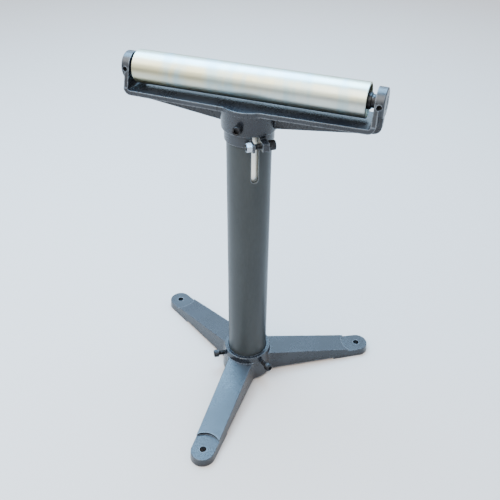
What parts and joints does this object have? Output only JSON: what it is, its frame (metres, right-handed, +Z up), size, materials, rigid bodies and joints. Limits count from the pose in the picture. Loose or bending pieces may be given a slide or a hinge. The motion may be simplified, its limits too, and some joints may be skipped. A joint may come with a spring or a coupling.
{
  "type": "pipe stand",
  "caption": "Pipe stand with a free-turning plated roller in a cast yoke, a clamped sliding mast in a slotted column, and a cast base with splayed legs.",
  "frame": {"origin": "on the floor, on the axis of the column, which is the centre of the circle of the three foot holes", "axes": "+Z up the column, +X along the roller, and the front leg points to -Y (turned 1.3 degrees from it, as pictured)"},
  "size_m": [0.445, 0.3959, 0.6235],
  "materials": {
    "casting_paint": "satin blue-grey enamel over a cast surface",
    "column_paint": "satin dark grey enamel on steel tube",
    "black_screw": "black oxide, satin",
    "zinc_nut": "bright zinc plating",
    "mast_plating": "bright zinc plating on drawn tube",
    "roller_plating": "bright plating with fine turning marks",
    "axle_steel": "turned steel",
    "black_spacer": "black oxide, satin",
    "bearing_steel": "ground steel",
    "bearing_seal": "dark seal"
  },
  "bodies": {
    "stand": {"base_casting": "casting_paint", "base_lock_screw_right": "black_screw", "base_lock_screw_rear": "black_screw", "base_lock_screw_left": "black_screw", "column_tube": "column_paint", "clamp_band": "casting_paint", "clamp_nut": "zinc_nut"},
    "clamp_screw": {"clamp_screw": "black_screw"},
    "mast": {"mast_tube": "mast_plating"},
    "head": {"yoke_casting": "casting_paint", "yoke_lock_screw": "black_screw", "roller_axle": "axle_steel", "axle_set_screw_left": "black_screw", "axle_set_screw_right": "black_screw", "bearing_inner_race_left": "bearing_steel", "bearing_inner_race_right": "bearing_steel", "axle_spacer_left": "black_spacer", "axle_spacer_right": "black_spacer"},
    "roller": {"roller_tube": "roller_plating", "bearing_outer_race_left": "bearing_steel", "bearing_outer_race_right": "bearing_steel", "bearing_shield_left": "bearing_seal", "bearing_shield_right": "bearing_seal"},
    "ball_sets": {"bearing_balls_left": "bearing_steel", "bearing_balls_right": "bearing_steel", "bearing_cage_left": "bearing_steel", "bearing_cage_right": "bearing_steel"}
  },
  "joints": [
    {"name": "mast_slide", "type": "slide", "parent": "stand", "child": "mast", "axis": [0, 0, 1], "range_m": [0, 0.36]},
    {"name": "head_swivel", "type": "hinge", "parent": "mast", "child": "head", "pos_m": [0, 0, 0.55], "axis": [0, 0, 1], "continuous": true},
    {"name": "roller_spin", "type": "hinge", "parent": "head", "child": "roller", "pos_m": [0, 0, 0.5975], "axis": [1, 0, 0], "continuous": true},
    {"name": "ball_orbit", "type": "hinge", "parent": "head", "child": "ball_sets", "pos_m": [0, 0, 0.5975], "axis": [1, 0, 0], "continuous": true},
    {"name": "clamp_screw_turn", "type": "hinge", "parent": "stand", "child": "clamp_screw", "pos_m": [0.02834, -0.03973, 0.5143], "axis": [0.8141, 0.5807, 0], "range_deg": [0, 720]}
  ],
  "couplings": [
    {"joint": "ball_orbit", "follows": "roller_spin", "ratio": 0.61791}
  ]
}
